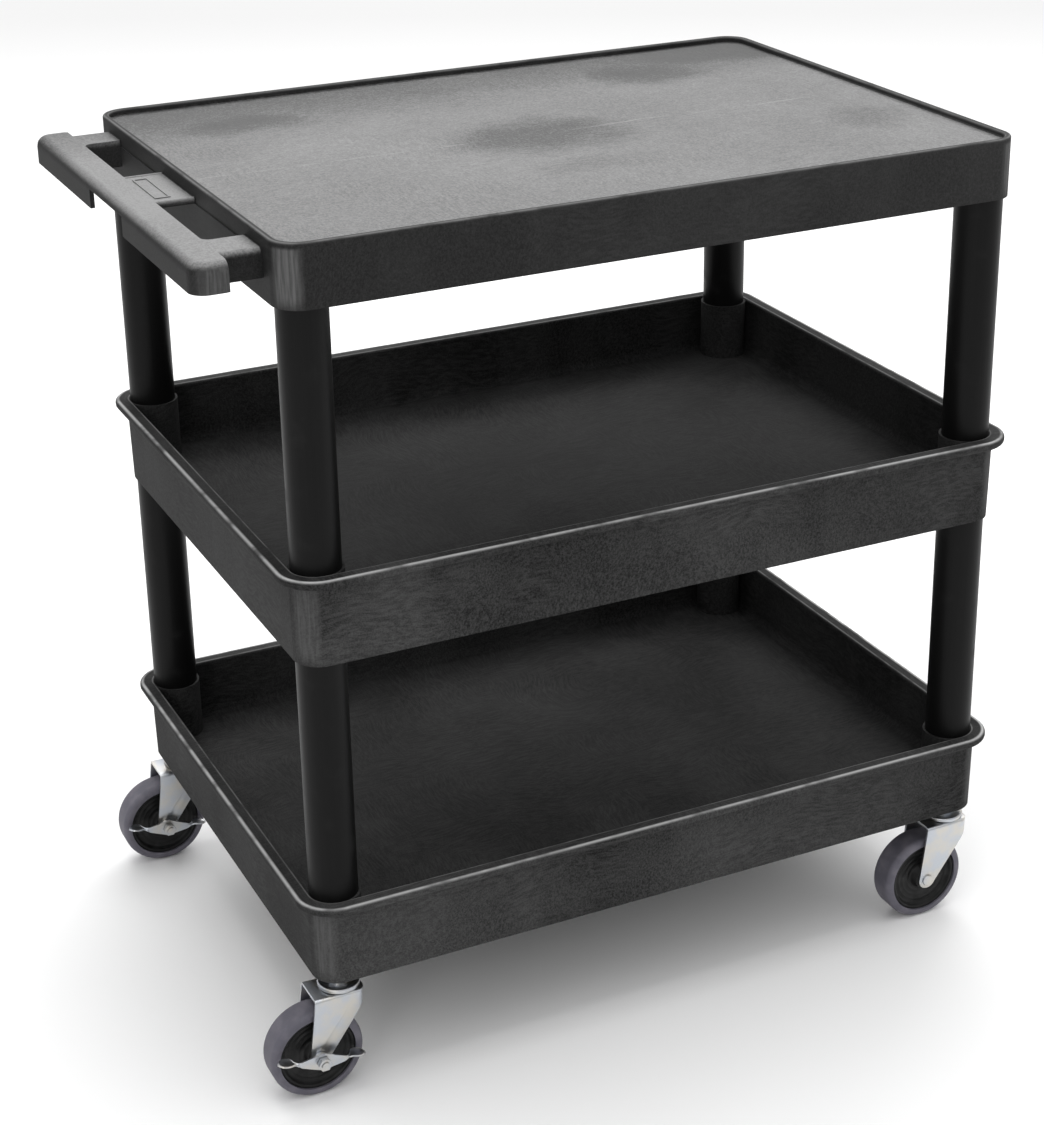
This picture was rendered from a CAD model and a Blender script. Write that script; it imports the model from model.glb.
"""A black moulded utility cart with a push handle, two tubs, round legs and zinc-plated swivel casters."""
from math import cos, pi, radians, sin

import bmesh
import bpy
from mathutils import Matrix, Vector


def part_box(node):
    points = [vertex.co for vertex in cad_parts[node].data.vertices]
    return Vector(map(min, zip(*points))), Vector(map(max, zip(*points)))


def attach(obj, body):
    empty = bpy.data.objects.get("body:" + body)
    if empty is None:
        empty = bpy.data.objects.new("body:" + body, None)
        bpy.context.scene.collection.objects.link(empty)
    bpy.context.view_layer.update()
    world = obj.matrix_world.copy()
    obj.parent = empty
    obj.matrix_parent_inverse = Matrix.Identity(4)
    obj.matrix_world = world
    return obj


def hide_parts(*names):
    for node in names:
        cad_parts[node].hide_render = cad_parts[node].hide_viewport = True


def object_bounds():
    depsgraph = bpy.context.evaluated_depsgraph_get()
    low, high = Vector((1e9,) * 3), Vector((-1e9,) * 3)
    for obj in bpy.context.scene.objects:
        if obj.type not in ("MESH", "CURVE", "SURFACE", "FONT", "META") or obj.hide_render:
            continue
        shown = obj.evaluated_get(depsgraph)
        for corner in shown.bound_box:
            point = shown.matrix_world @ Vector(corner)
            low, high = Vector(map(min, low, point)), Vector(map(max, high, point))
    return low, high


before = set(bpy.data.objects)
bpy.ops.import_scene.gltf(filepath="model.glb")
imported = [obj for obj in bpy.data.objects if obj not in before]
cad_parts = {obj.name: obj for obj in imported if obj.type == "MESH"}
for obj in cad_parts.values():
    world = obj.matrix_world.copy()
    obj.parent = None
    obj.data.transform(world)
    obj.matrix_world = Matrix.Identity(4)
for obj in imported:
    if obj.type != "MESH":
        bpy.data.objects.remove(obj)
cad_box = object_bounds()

# ---------------------------------------------------------------------------------------------
# Studio. A camera at a standing person's eye height looks down over the handle end, on a pale
# paper floor. A pale surround, bright above and dim low down, lights it with three soft lamps:
# one overhead, one behind that sheens the deck and a weak key from the front left.
scene = bpy.context.scene
scene.view_settings.view_transform = "Standard"

eye = Vector((-1.0433, -2.227, 1.542))
turn, tilt, roll = 0.4388, 0.3918, -0.0174
camera = bpy.data.objects.new("camera", bpy.data.cameras.new("camera"))
camera.matrix_world = (
    Matrix.Translation(eye)
    @ Matrix.Rotation(-turn, 4, "Z")
    @ Matrix.Rotation(pi / 2 - tilt, 4, "X")
    @ Matrix.Rotation(roll, 4, "Z")
)
camera.data.sensor_width = 36
camera.data.lens = 75.7
camera.data.shift_x, camera.data.shift_y = -0.0024, -0.0754
camera.data.clip_end = 60
scene.collection.objects.link(camera)
scene.camera = camera


def lamp(name, place, aim, size, power, tint=(1, 1, 1)):
    data = bpy.data.lights.new(name, "AREA")
    data.shape = "RECTANGLE"
    data.size, data.size_y = size
    data.energy = power
    data.color = tint
    made = bpy.data.objects.new(name, data)
    made.location = place
    made.rotation_euler = (Vector(aim) - Vector(place)).to_track_quat("-Z", "Y").to_euler()
    scene.collection.objects.link(made)
    return made


middle = (cad_box[0] + cad_box[1]) / 2
lamp("overhead", (0, 0, 3.4), (0, 0, 0), (2.6, 2.2), 45)
lamp("deck_sheen", (1.5, 2.9, 3.0), (0, 0, 0.9), (4.2, 1.6), 75)
lamp("front_key", (-2.7, -2.9, 1.9), middle, (0.9, 1.6), 14)

bpy.ops.mesh.primitive_plane_add(size=40)
paper = bpy.context.object
paper.name = "paper_floor"


class Value:
    """One socket of a finish, so that shader maths reads as plain arithmetic."""

    def __init__(self, finish, socket):
        self.finish, self.socket = finish, socket

    def _math(self, operation, a, b=0.0, clamp=False):
        return self.finish.node("Math", {"operation": operation, "use_clamp": clamp}, {0: a, 1: b})

    def __add__(self, other):
        return self._math("ADD", self, other)

    def __sub__(self, other):
        return self._math("SUBTRACT", self, other)

    def __rsub__(self, other):
        return self._math("SUBTRACT", other, self)

    def __mul__(self, other):
        return self._math("MULTIPLY", self, other)

    def __truediv__(self, other):
        return self._math("DIVIDE", self, other)

    def __pow__(self, other):
        return self._math("POWER", self, other)

    def __abs__(self):
        return self._math("ABSOLUTE", self)

    __radd__, __rmul__ = __add__, __mul__

    def clamp(self):
        return self._math("ADD", self, 0.0, clamp=True)

    def above(self, other):
        return self._math("MAXIMUM", self, other)

    def below(self, other):
        return self._math("MINIMUM", self, other)

    def band(self, low, high):
        """0 below low, 1 above high, with a soft step between."""
        return self.finish.node(
            "MapRange", {"interpolation_type": "SMOOTHSTEP"}, {0: self, 1: low, 2: high, 3: 0.0, 4: 1.0}
        )


class Nodes:
    """A node tree. node() adds a node, sets it up, feeds its sockets and returns one output."""

    def __init__(self, tree):
        self.tree = tree

    def node(self, kind, settings=None, feeds=None, out=0):
        made = self.tree.nodes.new("ShaderNode" + kind)
        for key, value in (settings or {}).items():
            setattr(made, key, value)
        for key, value in (feeds or {}).items():
            self.feed(made.inputs[key], value)
        return Value(self, made.outputs[out])

    def feed(self, socket, value):
        if isinstance(value, Value):
            self.tree.links.new(value.socket, socket)
        else:
            socket.default_value = value

    def axes(self, where):
        return [self.node("SeparateXYZ", {}, {0: where}, out=i) for i in range(3)]


class Finish(Nodes):
    """A procedural material on object coordinates. Its constants go straight on the shader."""

    def __init__(self, name, **constants):
        self.material = bpy.data.materials.new(name)
        self.material.use_nodes = True
        super().__init__(self.material.node_tree)
        self.shader = self.tree.nodes["Principled BSDF"]
        for socket, value in constants.items():
            self.shader.inputs[socket.replace("_", " ")].default_value = value

    def place(self):
        return self.node("TexCoord", out="Object")

    def noise(self, where, scale, detail=2.0, rough=0.5, distort=0.0, out=0):
        feeds = {
            "Vector": where, "Scale": scale, "Detail": detail, "Roughness": rough, "Distortion": distort,
        }
        return self.node("TexNoise", {}, feeds, out)

    def vector(self, operation, a, b=(0, 0, 0), scale=None):
        feeds = {0: a, 1: b} if scale is None else {0: a, "Scale": scale}
        return self.node("VectorMath", {"operation": operation}, feeds)

    def blend(self, mask, a, b):
        """Colour a where mask is 0 and colour b where it is 1."""
        return self.node("Mix", {"data_type": "RGBA"}, {0: mask, 6: a, 7: b}, out=2)

    def choose(self, mask, a, b):
        """The same for numbers."""
        return self.node("Mix", {"data_type": "FLOAT"}, {0: mask, 2: a, 3: b})

    def paint(self, color=None, rough=None, metal=None, height=None, depth=0.001, strength=1.0):
        for socket, value in (("Base Color", color), ("Roughness", rough), ("Metallic", metal)):
            if value is not None:
                self.feed(self.shader.inputs[socket], value)
        if height is not None:
            feeds = {"Height": height, "Distance": depth, "Strength": strength}
            self.feed(self.shader.inputs["Normal"], self.node("Bump", {}, feeds))
        return self.material


def grey(value, warm=0.0):
    return (value * (1 + warm), value, value * (1 - warm), 1)


world = bpy.data.worlds.new("surround")
world.use_nodes = True
scene.world = world
sky = Nodes(world.node_tree)
height = sky.axes(sky.node("TexCoord"))[2]
sky.feed(world.node_tree.nodes["Background"].inputs["Color"], (1, 1, 1, 1))
sky.feed(world.node_tree.nodes["Background"].inputs["Strength"], height.clamp() * 1.1 + 0.25)

sheet = Finish("studio_paper", Roughness=0.9)
paper.data.materials.append(
    sheet.paint(color=sheet.blend(sheet.noise(sheet.place(), 0.6), grey(0.9), grey(0.94)))
)


def dress(material, *nodes):
    """Puts a material on CAD nodes, in place of their plain ones."""
    for name in nodes:
        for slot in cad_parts[name].material_slots:
            slot.material = material


CORNERS = ("rear_right", "rear_left", "front_right", "front_left")

# ---------------------------------------------------------------------------------------------
# Shelf mouldings. The top shelf with its handle and the two tubs are black structural foam,
# moulded in one shot each. The foam leaves fine curling flow marks in a satin skin, the walls
# scuff to grey in use, and the rims are polished bright where things rub over them.
deck_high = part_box("top_shelf")[1]
lip_h, lip_w = 0.006, 0.007
shelf_end = 0.4065
shelf_middle = deck_high.x - shelf_end
corner_x, corner_y, corner_r = 0.3769, 0.2624, 0.0296


class Foam(Finish):
    """Black foam skin of one shelf: curling streaks, clouds, grain and rubbed edges."""

    def __init__(self, name, gloss):
        super().__init__(name, Specular_IOR_Level=gloss)
        self.where = self.place()
        self.x, self.y, self.z = self.axes(self.vector("SUBTRACT", self.where, (shelf_middle, 0, 0)))
        out_x = (abs(self.x) - corner_x).above(0.0)
        out_y = (abs(self.y) - corner_y).above(0.0)
        self.ring = (out_x * out_x + out_y * out_y) ** 0.5
        self.corner = (out_x.below(out_y)).band(0.004, 0.016)
        swirl = self.vector("SUBTRACT", self.noise(self.where, 9, 1.0, out="Color"), (0.5, 0.5, 0.5))
        bent = self.vector("ADD", self.where, self.vector("SCALE", swirl, scale=0.05))
        along = self.noise(self.vector("MULTIPLY", bent, (50, 430, 330)), 1.0, 4.0, 0.62)
        across = self.noise(self.vector("MULTIPLY", bent, (430, 50, 330)), 1.0, 4.0, 0.62)
        self.streaks = self.choose(self.noise(self.where, 8).band(0.4, 0.6), along, across)
        self.cloud = self.noise(self.where, 5.0, 4.0, 0.55)
        self.grain = self.noise(self.where, 700, 2.0)
        panels = self.noise(self.vector("MULTIPLY", bent, (9, 9, 0.8)), 1.0, 2.0)
        self.tone = (
            self.streaks.band(0.36, 0.66) * 0.36
            + self.cloud.band(0.34, 0.66) * 0.3
            + panels.band(0.46, 0.54) * 0.1
            + self.grain.band(0.38, 0.62) * 0.24
        )

    def rub(self, ring, height, reach):
        """A worn line where the ring distance and the height are these."""
        beside = 1 - abs(self.ring - ring).band(0.0, reach)
        level = 1 - abs(self.z - height).band(0.0, reach * 1.5)
        return beside * level * (self.noise(self.where, 28, 4.0).band(0.3, 0.56) * 0.75 + 0.25)

    def scuffed(self, low, high):
        """Streaked corners, where the shelf is knocked against things, between these heights."""
        streak = self.noise(self.vector("MULTIPLY", self.where, (420, 420, 30)), 1.0, 3.0).band(0.35, 0.7)
        tall = self.z.band(low, low + 0.02) * (1 - self.z.band(high - 0.004, high))
        outside = self.ring.band(corner_r - 0.004, corner_r - 0.001)
        return self.corner * outside * tall * (streak * 0.5 + 0.5)

    def skin(self, color, rough, node):
        bump = self.streaks * 0.55 + self.grain * 0.45
        dress(self.paint(color, rough, height=bump, depth=0.0005, strength=0.4), node)


rim_out = 0.013
for name in ("middle_tub", "bottom_tub"):
    foam = Foam(name + "_foam", 0.1)
    rim_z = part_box(name)[1].z
    worn = foam.rub(corner_r + rim_out - 0.003, rim_z - 0.0005, 0.0028)
    worn = worn + foam.rub(corner_r - 0.002, rim_z, 0.0016) * 0.3
    inside = 1 - foam.ring.band(corner_r - 0.003, corner_r - 0.001)
    handle_end = 1 - foam.x.band(-shelf_end - 0.01, -shelf_end + 0.025)
    sheltered = handle_end * 0.45 + foam.x.band(0.0, 0.42) * 0.28
    shade = foam.tone * (1 - inside * 0.25) * (1.12 - sheltered)
    color = foam.blend(shade, grey(0.004), grey(0.066))
    color = foam.blend(foam.scuffed(rim_z - 0.1, rim_z - 0.008) * 0.7, color, grey(0.1))
    color = foam.blend((worn * 0.95).clamp(), color, grey(0.5))
    foam.skin(color, 0.66 + foam.tone * 0.12 - worn * 0.2, name)

foam = Foam("top_shelf_foam", 0.26)
deck_z = deck_high.z - lip_h
lip_ring = corner_r - lip_w
within_lip = 1 - foam.ring.band(lip_ring - 0.0008, lip_ring + 0.0006)
on_deck = (1 - abs(foam.z - deck_z).band(0.0012, 0.002)) * within_lip
handle_z = deck_high.z - 0.0125
past_shelf = 1 - foam.x.band(-shelf_end - 0.002, -shelf_end - 0.0008)
on_handle = foam.z.band(handle_z - 0.007, handle_z - 0.0015) * past_shelf
soft = foam.vector("SUBTRACT", foam.noise(foam.where, 16, 3.0, out="Color"), (0.5, 0.5, 0.5))
soft_place = foam.vector("ADD", foam.where, foam.vector("SCALE", soft, scale=0.07))
soft_x, soft_y = foam.axes(soft_place)[:2]
bare = 0.0
for at_x, at_y, long_x, long_y, depth in (
    (0.015, -0.02, 0.12, 0.085, 0.85),
    (0.245, 0.17, 0.075, 0.06, 0.7),
    (-0.243, 0.175, 0.085, 0.045, 0.6),
    (0.38, 0.23, 0.12, 0.05, 0.6),
    (0.36, -0.12, 0.05, 0.07, 0.35),
    (0.02, -0.15, 0.09, 0.04, 0.25),
    (-0.3, 0.06, 0.05, 0.05, 0.2),
):
    span_x, span_y = (soft_x - at_x) / long_x, (soft_y - at_y) / long_y
    bare = (1 - (span_x * span_x + span_y * span_y) ** 0.5).band(-0.15, 0.75) * depth + bare
far_side = foam.y.band(0.1, 0.275) * 0.5
seam = 1 - abs(foam.y + 0.016 + foam.cloud * 0.02 - 0.01).band(0.0004, 0.0024)
knit = seam * foam.noise(foam.where, 14, 2.0).band(0.42, 0.6)
speckle = foam.noise(foam.where, 420, 3.0, 0.7).band(0.4, 0.64)
haze = (
    foam.cloud.band(0.3, 0.7) * 0.24
    + foam.streaks.band(0.4, 0.6) * 0.22
    + speckle * 0.34
    + foam.grain.band(0.3, 0.7) * 0.16
    + 0.16
)
haze = (haze - bare * 0.66 - far_side * 1.15 + knit * 0.5 + on_handle * 0.3).clamp()
dusty = (on_deck + on_handle).clamp()
worn = foam.rub(corner_r - 0.0015, deck_high.z - 0.0008, 0.0018) * 0.4
worn = worn + foam.rub(lip_ring + 0.001, deck_high.z - 0.001, 0.0016) * 0.25
wall = foam.blend(foam.tone, grey(0.003), grey(0.03))
color = foam.blend(dusty, wall, foam.blend(haze, grey(0.015), grey(0.175)))
color = foam.blend(foam.scuffed(deck_high.z - 0.07, deck_high.z - 0.004) * 0.8, color, grey(0.13))
color = foam.blend(worn.clamp(), color, grey(0.3))
foam.skin(color, 0.68 + foam.tone * 0.1 - dusty * 0.2, "top_shelf")

# ---------------------------------------------------------------------------------------------
# Legs. Eight lengths of round extruded plastic tube, pushed into the corner sockets. They are
# smoother and blacker than the mouldings, with faint draw lines along them. The plug that takes
# each caster is the same plastic.
tube = Finish("leg_plastic", Specular_IOR_Level=0.12)
where = tube.place()
draw = tube.noise(tube.vector("MULTIPLY", where, (600, 600, 6)), 1.0, 2.0)
scuff = tube.noise(where, 40, 3.0).band(0.55, 0.8)
dress(
    tube.paint(
        tube.blend(scuff * 0.5 + draw * 0.3, grey(0.0028), grey(0.012)),
        0.4 + scuff * 0.14,
        height=draw,
        depth=0.0002,
        strength=0.4,
    ),
    *[f"{piece}_{corner}" for piece in ("upper_leg", "lower_leg", "caster_plug") for corner in CORNERS],
)

# ---------------------------------------------------------------------------------------------
# Caster steel. Forks are pressed from sheet, stems, bolts and nuts are turned, and all have a
# bright zinc plating, slightly cloudy and warm or blue in patches. The sheared edges of the
# forks, caps and nuts are eased, so that each catches a thin bright line.
zinc = Finish("zinc_plate", Metallic=1.0)
where = zinc.place()
patch = zinc.noise(where, 55, 3.0)
spangle = zinc.noise(zinc.vector("MULTIPLY", where, (160, 160, 600)), 1.0, 3.0)
tint = zinc.blend(patch.band(0.35, 0.7), (0.50, 0.525, 0.565, 1), (0.575, 0.555, 0.515, 1))
zinc.paint(tint, 0.24 + spangle * 0.16, height=spangle, depth=0.0003, strength=0.15)
dress(
    zinc.material,
    *[
        f"{piece}_{corner}"
        for piece in ("caster_stem", "axle_bolt", "ball_ring", "axle_sleeve")
        for corner in CORNERS
    ],
)


def keep(mesh, name, body, slot, material, *nodes):
    """Makes a piece of a finished mesh: it rides on a body and stands for these CAD nodes."""
    piece = bpy.data.objects.new(name, mesh)
    bpy.context.scene.collection.objects.link(piece)
    mesh.materials.clear()
    mesh.materials.append(material)
    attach(piece, body)
    if nodes:
        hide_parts(*nodes)
    return piece


def finished(shape, name, crease=35):
    """Closes a bmesh into a mesh, smooth but for edges sharper than crease degrees."""
    bmesh.ops.recalc_face_normals(shape, faces=shape.faces)
    for face in shape.faces:
        face.smooth = True
    for edge in shape.edges:
        edge.smooth = not (edge.is_manifold and edge.calc_face_angle() > radians(crease))
    mesh = bpy.data.meshes.new(name)
    shape.to_mesh(mesh)
    shape.free()
    return mesh


def eased(node, width, body, slot, material):
    """The node's own shape with its sharp edges taken off by this width."""
    shape = bmesh.new()
    shape.from_mesh(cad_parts[node].data)
    bmesh.ops.remove_doubles(shape, verts=shape.verts, dist=1e-6)
    bmesh.ops.dissolve_limit(shape, angle_limit=radians(1), verts=shape.verts, edges=shape.edges)
    sharp = [e for e in shape.edges if len(e.link_faces) == 2 and e.calc_face_angle() > radians(40)]
    bmesh.ops.bevel(
        shape, geom=sharp, offset=width, offset_type="OFFSET", affect="EDGES", segments=2, profile=0.5,
        material=-1, clamp_overlap=True,
    )
    return keep(finished(shape, node + "_eased"), node + "_eased", body, slot, material, node)


for corner in CORNERS:
    eased(f"caster_fork_{corner}", 0.0004, f"swivel_{corner}", "zinc_steel", zinc.material)
    eased(f"axle_nut_{corner}", 0.0007, f"swivel_{corner}", "zinc_steel", zinc.material)
    eased(f"race_cap_{corner}", 0.0003, "cart", "zinc_steel", zinc.material)
    eased(f"jam_nut_{corner}", 0.0008, "cart", "zinc_steel", zinc.material)

# ---------------------------------------------------------------------------------------------
# Foot pedals. Each is one strip of pressed steel: an upright diamond held by the axle nut, its
# ends twisted flat into two dished foot pads, one each side of the axle. A spacer tube holds
# the diamond off the cheek.
pad_at, pad_half, pad_deep, sheet_t = 0.039, 0.0098, 0.0078, 0.0018
diamond_half, waist_half, waist_at = 0.0098, 0.0022, 0.027
plate_off, cheek_off, spacer_r, hole_r = 0.0296, 0.0216, 0.0075, 0.0042
for corner in ("rear_right", "rear_left"):
    low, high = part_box(f"wheel_hub_{corner}")
    axle = (low + high) / 2
    plate_y = axle.y - plate_off
    strip = bmesh.new()
    bmesh.ops.create_grid(strip, x_segments=72, y_segments=8, size=1.0)
    for vert in strip.verts:
        u, v = vert.co.x, vert.co.y
        reach = u * (pad_at + pad_half)
        far = abs(reach)
        twist = min(max((far - waist_at + 0.003) / 0.008, 0.0), 1.0)
        twist = twist * twist * (3 - 2 * twist) * pi / 2
        if far < waist_at:
            half = waist_half + (diamond_half - waist_half) * (1 - far / waist_at) ** 0.9
        else:
            round_half = max(0.0, 1 - ((far - pad_at) / pad_half) ** 2) ** 0.5 * pad_deep
            half = max(waist_half if far < pad_at else 0.0, round_half)
        in_pad = min(max((far - waist_at) / 0.006, 0.0), 1.0)
        away = v * half
        dish = (1 - v * v) * 0.0012 * in_pad
        vert.co = Vector((
            axle.x + reach,
            plate_y + 0.0035 * in_pad + away * sin(twist),
            axle.z + away * cos(twist) - dish + 0.0012 * in_pad,
        ))
    bmesh.ops.remove_doubles(strip, verts=strip.verts, dist=2e-5)
    bmesh.ops.recalc_face_normals(strip, faces=strip.faces)
    bmesh.ops.solidify(strip, geom=strip.faces, thickness=sheet_t)
    middle_y = sum(vert.co.y for vert in strip.verts if abs(vert.co.x - axle.x) < 0.005) / sum(
        1 for vert in strip.verts if abs(vert.co.x - axle.x) < 0.005
    )
    bmesh.ops.translate(strip, verts=strip.verts, vec=(0, plate_y - middle_y, 0))
    turned = Matrix.Translation(axle) @ Matrix.Rotation(radians(8), 4, "Y") @ Matrix.Translation(-axle)
    bmesh.ops.transform(strip, matrix=turned, verts=strip.verts)
    name = f"foot_pedal_{corner}"
    body = f"brake_{corner}"
    pedal = keep(finished(strip, name), name, body, "zinc_steel", zinc.material, f"brake_pedal_{corner}")
    drill = bmesh.new()
    upright = Matrix.Translation((axle.x, plate_y, axle.z)) @ Matrix.Rotation(pi / 2, 4, "X")
    bmesh.ops.create_cone(
        drill, cap_ends=True, segments=48, radius1=hole_r, radius2=hole_r, depth=0.012, matrix=upright
    )
    cutter = bpy.data.objects.new("drill", finished(drill, "drill"))
    scene.collection.objects.link(cutter)
    hole = pedal.modifiers.new("hole", "BOOLEAN")
    hole.object, hole.operation, hole.solver = cutter, "DIFFERENCE", "EXACT"
    bpy.context.view_layer.update()
    drilled = bpy.data.meshes.new_from_object(pedal.evaluated_get(bpy.context.evaluated_depsgraph_get()))
    pedal.modifiers.clear()
    pedal.data = drilled
    bpy.data.objects.remove(cutter)

    tube_wall = bmesh.new()
    gap = 0.0004
    inner, outer = cheek_off + gap, plate_off - 0.0008
    section = [(hole_r, inner), (spacer_r, inner), (spacer_r, outer), (hole_r, outer)]
    ring = [tube_wall.verts.new((axle.x + r, axle.y - out, axle.z)) for r, out in section]
    edges = [tube_wall.edges.new((ring[k], ring[(k + 1) % 4])) for k in range(4)]
    bmesh.ops.spin(
        tube_wall, geom=ring + edges, cent=axle, axis=(0, 1, 0), angle=2 * pi, steps=48, use_merge=True
    )
    name = f"pedal_spacer_{corner}"
    keep(finished(tube_wall, name), name, body, "zinc_steel", zinc.material)

# ---------------------------------------------------------------------------------------------
# Wheels. Hubs are moulded in black plastic, with a deep rim, a flat web that carries faint
# raised rings, and a boss that turns on the axle sleeve. Tyres are grey non-marking rubber,
# cast round the hub.
plastic = Finish("hub_plastic", Specular_IOR_Level=0.22)
where = plastic.place()
plastic.paint(
    plastic.blend(plastic.noise(where, 80, 3.0).band(0.4, 0.7), grey(0.006), grey(0.016)),
    0.34 + plastic.noise(where, 120) * 0.14,
)
rubber = Finish("tyre_rubber", Specular_IOR_Level=0.35)
where = rubber.place()
worn = rubber.noise(where, 60, 4.0).band(0.35, 0.75)
rubber.paint(
    rubber.blend(worn, (0.098, 0.094, 0.117, 1), (0.15, 0.142, 0.168, 1)),
    0.58 + worn * 0.15,
    height=rubber.noise(where, 900, 2.0),
    depth=0.0003,
    strength=0.3,
)
bore_r, boss_r, hub_r, web_half, rim_half, boss_half = 0.00605, 0.013, 0.042, 0.009, 0.014, 0.0186
ring_up = 0.0003
half_section = [(bore_r, boss_half), (boss_r - 0.001, boss_half), (boss_r, boss_half - 0.001)]
half_section += [(boss_r + 0.001, web_half + 0.0012), (boss_r + 0.0026, web_half)]
for ring_r in (0.0188, 0.0248, 0.0302):
    half_section += [
        (ring_r, web_half),
        (ring_r + 0.0006, web_half + ring_up),
        (ring_r + 0.0014, web_half + ring_up),
        (ring_r + 0.002, web_half),
    ]
half_section += [
    (hub_r - 0.0068, web_half),
    (hub_r - 0.0052, web_half + 0.0008),
    (hub_r - 0.0042, rim_half - 0.0009),
    (hub_r - 0.0036, rim_half - 0.0002),
    (hub_r - 0.003, rim_half),
    (hub_r - 0.0006, rim_half),
    (hub_r, rim_half - 0.0006),
]
for corner in CORNERS:
    low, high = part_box(f"wheel_hub_{corner}")
    axle = (low + high) / 2
    disc = bmesh.new()
    outline = [disc.verts.new((axle.x + r, axle.y + out, axle.z)) for r, out in half_section]
    outline += [disc.verts.new((axle.x + r, axle.y - out, axle.z)) for r, out in reversed(half_section)]
    edges = [disc.edges.new((outline[k - 1], outline[k])) for k in range(len(outline))]
    bmesh.ops.spin(
        disc, geom=outline + edges, cent=axle, axis=(0, 1, 0), angle=2 * pi, steps=96, use_merge=True
    )
    name = f"ringed_hub_{corner}"
    disc_mesh = finished(disc, name, 50)
    keep(disc_mesh, name, f"wheel_{corner}", "hub_plastic", plastic.material, f"wheel_hub_{corner}")
dress(rubber.material, *[f"tyre_{corner}" for corner in CORNERS])
